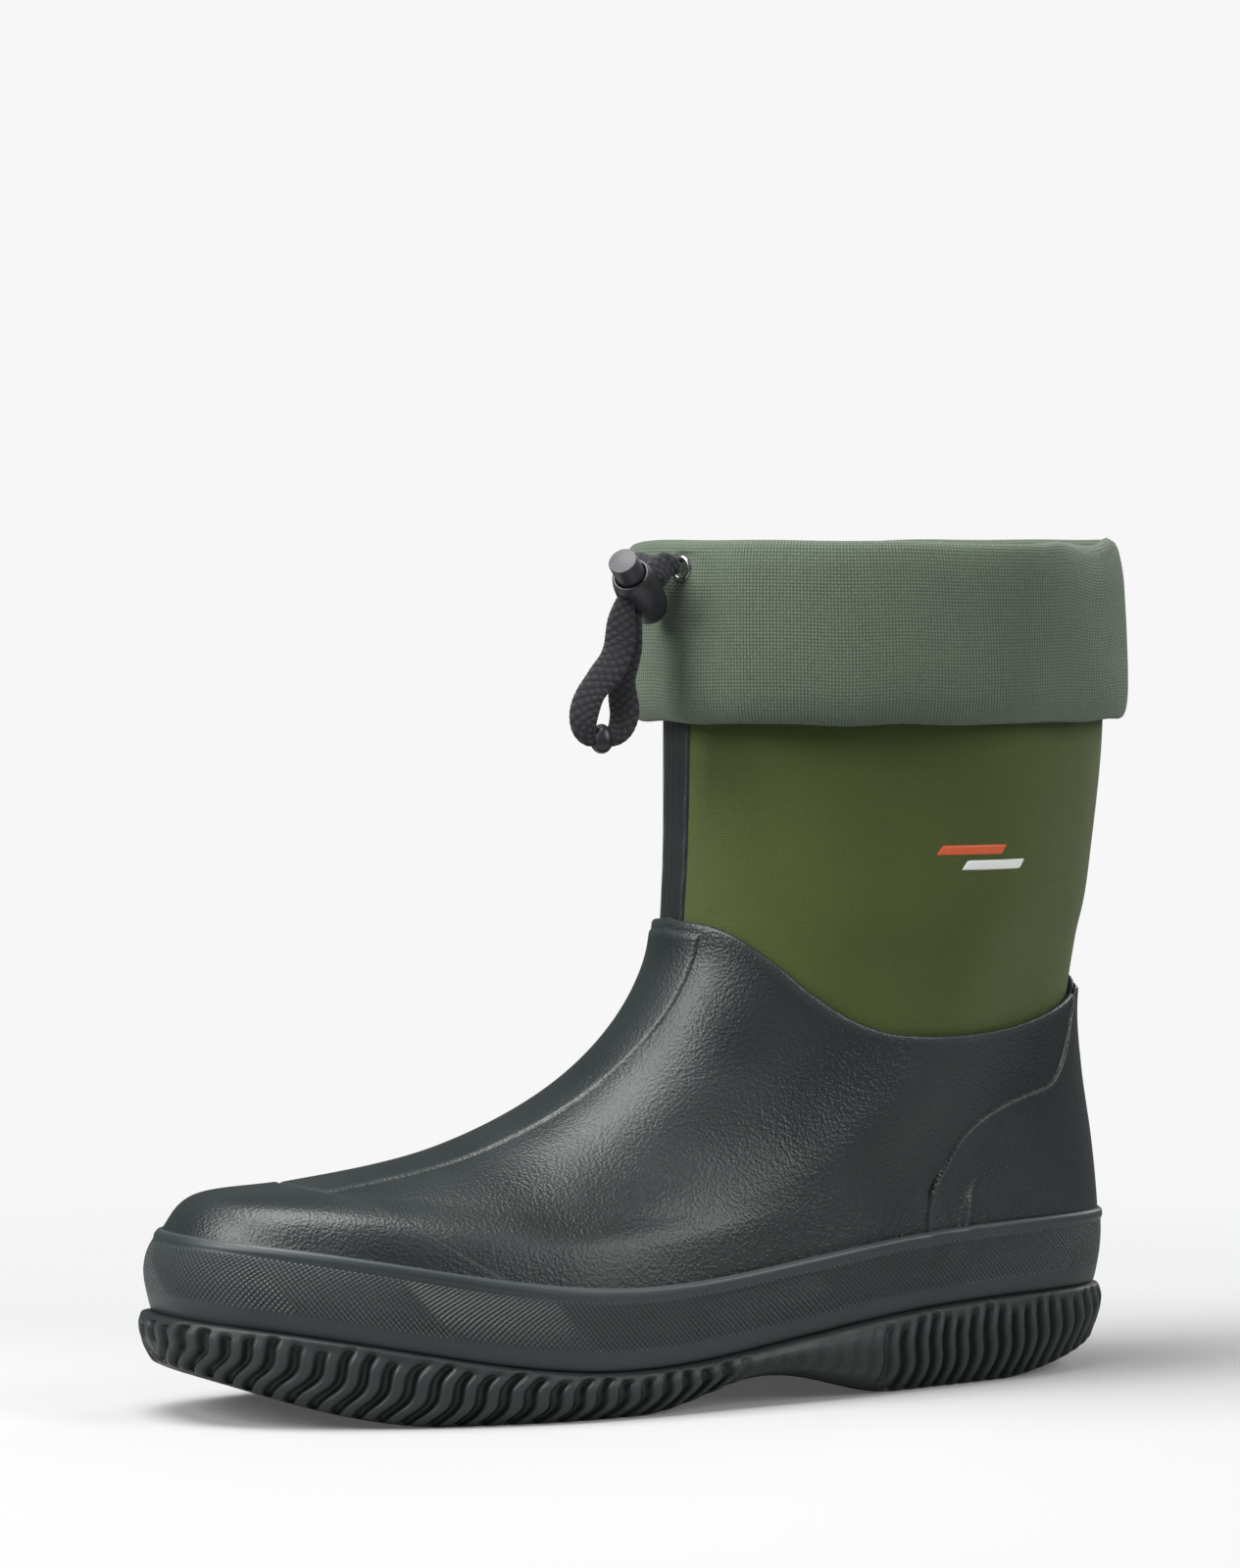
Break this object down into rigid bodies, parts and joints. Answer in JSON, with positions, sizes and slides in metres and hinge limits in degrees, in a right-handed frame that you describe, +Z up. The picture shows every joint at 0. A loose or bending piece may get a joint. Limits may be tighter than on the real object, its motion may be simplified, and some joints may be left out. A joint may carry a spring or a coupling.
{
  "type": "insulated boot",
  "caption": "Insulated left boot with a rubber foot, neoprene shaft and fold-down nylon gaiter closed by a drawcord lock.",
  "frame": {"origin": "on the floor under the middle of the boot's box, its free drawcord left out", "axes": "+Z up, +Y towards the heel, +X towards the outer side of the left foot"},
  "size_m": [0.1296, 0.312, 0.25],
  "materials": {
    "outsole_rubber": "matt",
    "upper_rubber": "satin",
    "foxing_rubber": "satin",
    "strip_rubber": "satin",
    "neoprene": "woven",
    "fleece": "napped",
    "foam": "matt",
    "fibreboard": "matt",
    "gaiter_nylon": "woven",
    "black_nylon": "woven",
    "cord_braid": "braided",
    "lock_plastic": "moulded",
    "steel": "polished",
    "mark_print": "printed"
  },
  "bodies": {
    "boot": {"outsole": "outsole_rubber", "shank": "steel", "midsole": "foam", "insole_board": "fibreboard", "rubber_shell": "upper_rubber", "bootie_foot": "neoprene", "bootie_shaft": "neoprene", "lining": "fleece", "footbed": "foam", "foxing_band": "foxing_rubber", "toe_cap": "upper_rubber", "heel_counter": "upper_rubber", "instep_band": "upper_rubber", "front_seam_strip": "strip_rubber", "back_seam_strip": "strip_rubber", "shaft_mark": "mark_print", "top_binding": "black_nylon", "gaiter_ply": "gaiter_nylon"},
    "gaiter": {"gaiter_outer": "gaiter_nylon", "gaiter_casing": "gaiter_nylon", "hem_drawcord": "cord_braid", "eyelet_lateral": "steel", "eyelet_medial": "steel", "drawcord_tail": "cord_braid", "cord_bead": "lock_plastic"},
    "cord_lock": {"lock_barrel": "lock_plastic", "lock_spring": "steel"},
    "lock_plunger": {"lock_button": "lock_plastic"}
  },
  "joints": [
    {"name": "gaiter_raise", "type": "slide", "parent": "boot", "child": "gaiter", "axis": [0, 0, 1], "range_m": [0, 0.088], "deforming": ["gaiter_ply"]},
    {"name": "cord_lock_slide", "type": "hinge", "parent": "gaiter", "child": "cord_lock", "pos_m": [0.019, -0.00126, 0.22285], "axis": [1, 0, 0], "range_deg": [0, 36]},
    {"name": "lock_button_press", "type": "slide", "parent": "cord_lock", "child": "lock_plunger", "axis": [-0.5035, 0.6411, -0.5793], "range_m": [0, 0.003], "stiffness_N_per_m": 400, "springref_m": -0.001}
  ]
}
